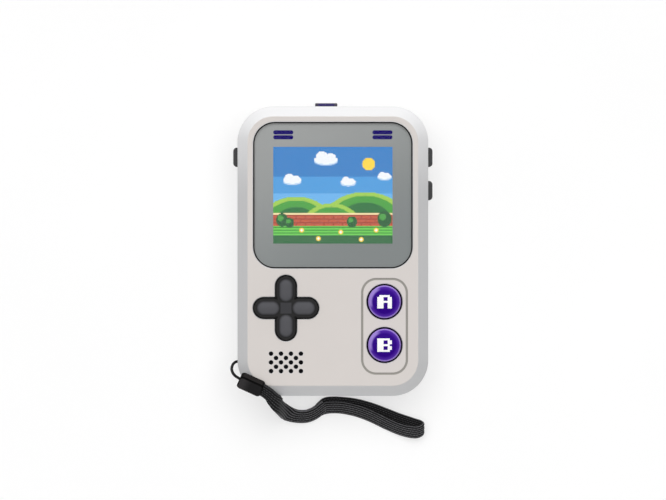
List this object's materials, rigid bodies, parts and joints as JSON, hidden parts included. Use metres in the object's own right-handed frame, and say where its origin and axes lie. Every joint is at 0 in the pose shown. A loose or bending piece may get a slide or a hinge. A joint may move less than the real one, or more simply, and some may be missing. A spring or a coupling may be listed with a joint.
{
  "type": "handheld game console",
  "caption": "Pocket handheld game console with a colour display, direction pad, round action buttons, side keys, power slider, battery bay and wrist strap.",
  "frame": {"origin": "middle of the back face of the case, which lies on the table", "axes": "+X to the right of a player, +Y towards the top edge, +Z out of the display"},
  "size_m": [0.0594, 0.0989, 0.0242],
  "materials": {
    "front_plastic": "fine satin texture",
    "rear_plastic": "fine satin texture",
    "screw_steel": "zinc plated",
    "clear_window": "polished clear",
    "window_ink": "grey print with violet stripes",
    "gasket_rubber": "satin black",
    "display_picture": "lit colour display",
    "backlight_white": "white moulded",
    "foam_black": "closed cell foam",
    "cable_amber": "amber film",
    "socket_cream": "moulded",
    "pad_black": "satin black",
    "ball_steel": "polished",
    "membrane_rubber": "silicone rubber",
    "button_violet": "glossy violet",
    "key_grey": "satin dark grey",
    "switch_ivory": "moulded",
    "switch_black": "moulded",
    "knob_violet": "satin violet",
    "switch_can": "tinned",
    "board_green": "green solder mask",
    "chip_black": "epoxy",
    "capacitor_can": "satin",
    "basket_steel": "dark plated",
    "cone_black": "formed film",
    "wire_red": "insulated wire",
    "wire_black": "insulated wire",
    "cell_wrap": "printed film wrap",
    "contact_nickel": "nickel plated",
    "strap_black": "ribbed black webbing",
    "ferrule_black": "moulded black"
  },
  "bodies": {
    "console": {"front_shell": "front_plastic", "rear_shell": "rear_plastic", "case_screws": "screw_steel", "board_screws": "screw_steel", "window_plate": "clear_window", "window_print": "window_ink", "window_gasket": "gasket_rubber", "display_glass": "display_picture", "display_backlight": "backlight_white", "display_foam": "foam_black", "display_cable": "cable_amber", "display_socket": "socket_cream", "pad_membrane": "membrane_rubber", "button_membrane": "membrane_rubber", "side_switches": "switch_black", "power_switch": "switch_can", "crystal_can": "switch_can", "main_board": "board_green", "game_chip": "chip_black", "sound_amplifier": "chip_black", "chip_resistors": "chip_black", "filter_capacitors": "capacitor_can", "speaker_basket": "basket_steel", "speaker_cone": "cone_black", "speaker_leads": "wire_red", "battery_lead_positive": "wire_red", "battery_lead_negative": "wire_black", "cell_left": "cell_wrap", "cell_middle": "cell_wrap", "cell_right": "cell_wrap", "battery_springs": "contact_nickel", "battery_contacts": "contact_nickel", "strap_cord": "strap_black", "strap_webbing": "strap_black", "strap_ferrule": "ferrule_black"},
    "pad_rocker": {"pad_pivot": "ball_steel"},
    "pad": {"direction_pad": "pad_black"},
    "a_button": {"button_a": "button_violet"},
    "b_button": {"button_b": "button_violet"},
    "left_key": {"side_key_left": "key_grey", "key_plunger_left": "switch_ivory"},
    "upper_key": {"side_key_upper": "key_grey", "key_plunger_upper": "switch_ivory"},
    "lower_key": {"side_key_lower": "key_grey", "key_plunger_lower": "switch_ivory"},
    "power_slider": {"power_knob": "knob_violet", "power_lever": "switch_ivory"},
    "battery_hatch": {"battery_door": "rear_plastic", "door_screw": "screw_steel"}
  },
  "joints": [
    {"name": "pad_up_down", "type": "hinge", "parent": "console", "child": "pad_rocker", "pos_m": [-0.01375, -0.0167, 0.01695], "axis": [1, 0, 0], "range_deg": [-3.5, 3.5], "stiffness_Nm_per_rad": 0.15, "deforming": ["pad_membrane"]},
    {"name": "pad_left_right", "type": "hinge", "parent": "pad_rocker", "child": "pad", "pos_m": [-0.01375, -0.0167, 0.01695], "axis": [0, 1, 0], "range_deg": [-3.5, 3.5], "stiffness_Nm_per_rad": 0.15, "deforming": ["pad_membrane"]},
    {"name": "button_a_press", "type": "slide", "parent": "console", "child": "a_button", "axis": [0, 0, -1], "range_m": [0, 0.001], "stiffness_N_per_m": 800, "deforming": ["button_membrane"]},
    {"name": "button_b_press", "type": "slide", "parent": "console", "child": "b_button", "axis": [0, 0, -1], "range_m": [0, 0.001], "stiffness_N_per_m": 800, "deforming": ["button_membrane"]},
    {"name": "left_key_press", "type": "slide", "parent": "console", "child": "left_key", "axis": [1, 0, 0], "range_m": [0, 0.0004], "stiffness_N_per_m": 1500},
    {"name": "upper_key_press", "type": "slide", "parent": "console", "child": "upper_key", "axis": [-1, 0, 0], "range_m": [0, 0.0004], "stiffness_N_per_m": 1500},
    {"name": "lower_key_press", "type": "slide", "parent": "console", "child": "lower_key", "axis": [-1, 0, 0], "range_m": [0, 0.0004], "stiffness_N_per_m": 1500},
    {"name": "power_slide", "type": "slide", "parent": "console", "child": "power_slider", "axis": [1, 0, 0], "range_m": [0, 0.0039]},
    {"name": "battery_door_swing", "type": "hinge", "parent": "console", "child": "battery_hatch", "pos_m": [0, 0.0258, 0], "axis": [1, 0, 0], "range_deg": [0, 50]}
  ]
}
